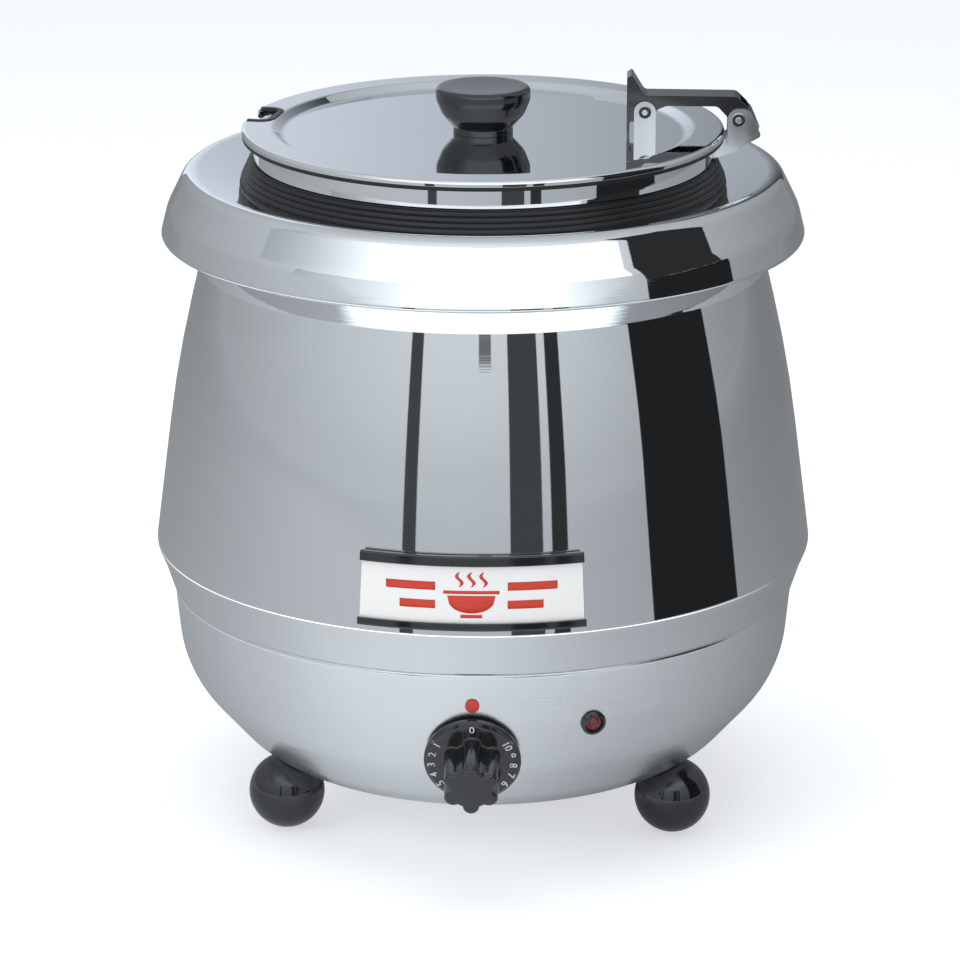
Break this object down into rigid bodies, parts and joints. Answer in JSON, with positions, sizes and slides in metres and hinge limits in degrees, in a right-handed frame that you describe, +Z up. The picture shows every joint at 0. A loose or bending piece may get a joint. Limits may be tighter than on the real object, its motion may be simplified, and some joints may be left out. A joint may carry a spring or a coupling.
{
  "type": "soup kettle",
  "caption": "Round stainless soup kettle on ball feet: a lift-out pot in a water bath, a lid on a side hinge, a card holder, a heat dial and a pilot lamp.",
  "frame": {"origin": "on the standing plane under the ball feet, on the axis of the round body", "axes": "+Z up along the body axis; -Y is the front with the dial and the card; +X is the side with the lid hinge"},
  "size_m": [0.347, 0.3638, 0.3962],
  "materials": {
    "polished_steel": "mirror-polished stainless steel",
    "plain_steel": "plain stainless or plated steel",
    "aluminium": "as cast",
    "black_gloss": "glossy black phenolic",
    "black_matte": "satin black heat-proof plastic",
    "copper_alloy": "bare brass or copper",
    "adhesive_pad": "foam tape",
    "white_card": "printed card",
    "red_lens": "moulded red lens",
    "red_plastic": "glossy red plastic",
    "ivory_plastic": "moulded ivory plastic"
  },
  "bodies": {
    "kettle": {"base_pan": "polished_steel", "bottom_plate": "plain_steel", "ball_foot_right": "black_gloss", "ball_foot_rear": "black_gloss", "ball_foot_left": "black_gloss", "foot_studs": "plain_steel", "outer_body": "polished_steel", "shoulder_collar": "polished_steel", "pot_seat_ring": "black_matte", "water_pot": "plain_steel", "heater_plate": "aluminium", "heating_element": "plain_steel", "heater_clamp": "plain_steel", "heater_nut": "plain_steel", "tie_rod": "plain_steel", "tie_washer": "plain_steel", "tie_nut": "plain_steel", "thermal_cutout": "black_matte", "thermostat": "black_matte", "thermostat_bracket": "plain_steel", "thermostat_nut": "copper_alloy", "thermostat_probe": "copper_alloy", "index_button": "red_plastic", "pilot_bezel": "black_gloss", "pilot_lens": "red_lens", "pilot_lamp_body": "black_matte", "pilot_clip": "plain_steel", "cord_gland": "black_matte", "gland_nut": "black_matte", "terminal_block": "ivory_plastic", "card_holder": "black_gloss", "holder_pads": "adhesive_pad"},
    "dial": {"thermostat_shaft": "plain_steel", "control_dial": "black_gloss"},
    "card": {"menu_card": "white_card"},
    "pot": {"insert_pot": "polished_steel", "rim_clamp": "plain_steel", "clamp_jaw": "plain_steel", "clamp_screws": "plain_steel", "clamp_pin": "plain_steel", "arm_pin": "plain_steel"},
    "arm": {"hinge_arm": "black_gloss"},
    "lid": {"lid": "polished_steel", "lid_knob": "black_gloss", "knob_washer": "plain_steel", "knob_screw": "plain_steel", "lid_bracket": "plain_steel", "bracket_rivets": "plain_steel", "lid_pin": "plain_steel"}
  },
  "joints": [
    {"name": "pot_lift", "type": "slide", "parent": "kettle", "child": "pot", "axis": [0, 0, 1], "range_m": [0, 0.26]},
    {"name": "arm_hinge", "type": "hinge", "parent": "pot", "child": "arm", "pos_m": [0.1324, 0, 0.3737], "axis": [0, 1, 0], "range_deg": [0, 100]},
    {"name": "lid_pivot", "type": "hinge", "parent": "arm", "child": "lid", "pos_m": [0.084, 0, 0.3775], "axis": [0, 1, 0], "range_deg": [0, 8]},
    {"name": "dial_turn", "type": "hinge", "parent": "kettle", "child": "dial", "pos_m": [0, -0.15689, 0.078], "axis": [0, 0.9613, 0.2756], "range_deg": [0, 300]},
    {"name": "card_slide", "type": "hinge", "parent": "kettle", "child": "card", "pos_m": [0, 0, 0.17], "axis": [0, 0, 1], "range_deg": [0, 38]}
  ],
  "couplings": [
    {"joint": "lid_pivot", "follows": "arm_hinge", "ratio": 0.08}
  ]
}
